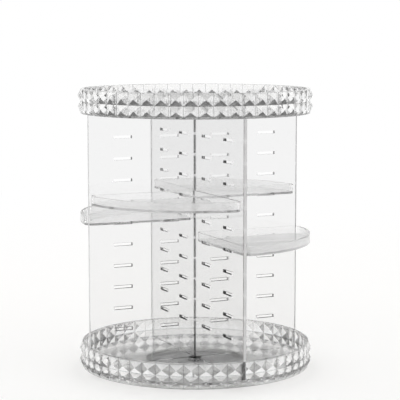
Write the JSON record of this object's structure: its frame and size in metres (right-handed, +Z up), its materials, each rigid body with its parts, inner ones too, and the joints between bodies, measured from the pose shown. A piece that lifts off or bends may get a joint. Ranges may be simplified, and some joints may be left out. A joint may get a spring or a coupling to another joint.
{
  "type": "rotating makeup organizer",
  "caption": "Clear round carousel for cosmetics: faceted-rim dishes joined by slotted panels in a cross, hooked quarter-round trays at different levels, and a ball-bearing foot.",
  "frame": {"origin": "on the floor, under the spin axis", "axes": "+Z up along the spin axis; the panels stand on the X and Y planes; -Y is the front"},
  "size_m": [0.236, 0.236, 0.286],
  "materials": {
    "clear_dish": "clear polished crystal-cut moulding",
    "clear_panel": "clear polished sheet",
    "clear_tray": "clear polished moulding",
    "clear_divider": "clear polished moulding",
    "clear_foot": "clear satin moulding",
    "rubber": "matt light grey",
    "race_plastic": "white acetal",
    "ball_steel": "polished steel",
    "screw_steel": "zinc plated",
    "cage_plastic": "natural acetal",
    "washer_plastic": "natural nylon"
  },
  "bodies": {
    "foot": {"foot_plate": "clear_foot", "rubber_pads": "rubber", "lower_race": "race_plastic", "lower_race_screws": "screw_steel"},
    "ball_cage": {"ball_cage": "cage_plastic", "bearing_balls": "ball_steel"},
    "carousel": {"base_tray": "clear_dish", "panel_right": "clear_panel", "panel_back": "clear_panel", "panel_left": "clear_panel", "panel_front": "clear_panel", "top_tray": "clear_dish", "lipstick_rack": "clear_divider", "brush_divider": "clear_divider", "upper_race": "race_plastic", "upper_race_screws": "screw_steel", "pivot_washer": "washer_plastic", "pivot_screw": "screw_steel"},
    "tray_front_left": {"tray_front_left": "clear_tray"},
    "tray_front_right": {"tray_front_right": "clear_tray"},
    "tray_back_left": {"tray_back_left": "clear_tray"},
    "tray_back_right": {"tray_back_right": "clear_tray"}
  },
  "joints": [
    {"name": "turntable_spin", "type": "hinge", "parent": "foot", "child": "carousel", "pos_m": [0, 0, 0], "axis": [0, 0, 1], "continuous": true},
    {"name": "cage_spin", "type": "hinge", "parent": "foot", "child": "ball_cage", "pos_m": [0, 0, 0], "axis": [0, 0, 1], "continuous": true},
    {"name": "tray_front_left_slide", "type": "slide", "parent": "carousel", "child": "tray_front_left", "axis": [-0.7071, -0.7071, 0], "range_m": [0, 0.0035]},
    {"name": "tray_front_right_slide", "type": "slide", "parent": "carousel", "child": "tray_front_right", "axis": [0.7071, -0.7071, 0], "range_m": [0, 0.0035]},
    {"name": "tray_back_left_slide", "type": "slide", "parent": "carousel", "child": "tray_back_left", "axis": [-0.7071, 0.7071, 0], "range_m": [0, 0.0035]},
    {"name": "tray_back_right_slide", "type": "slide", "parent": "carousel", "child": "tray_back_right", "axis": [0.7071, 0.7071, 0], "range_m": [0, 0.0035]}
  ],
  "couplings": [
    {"joint": "cage_spin", "follows": "turntable_spin", "ratio": 0.5}
  ]
}
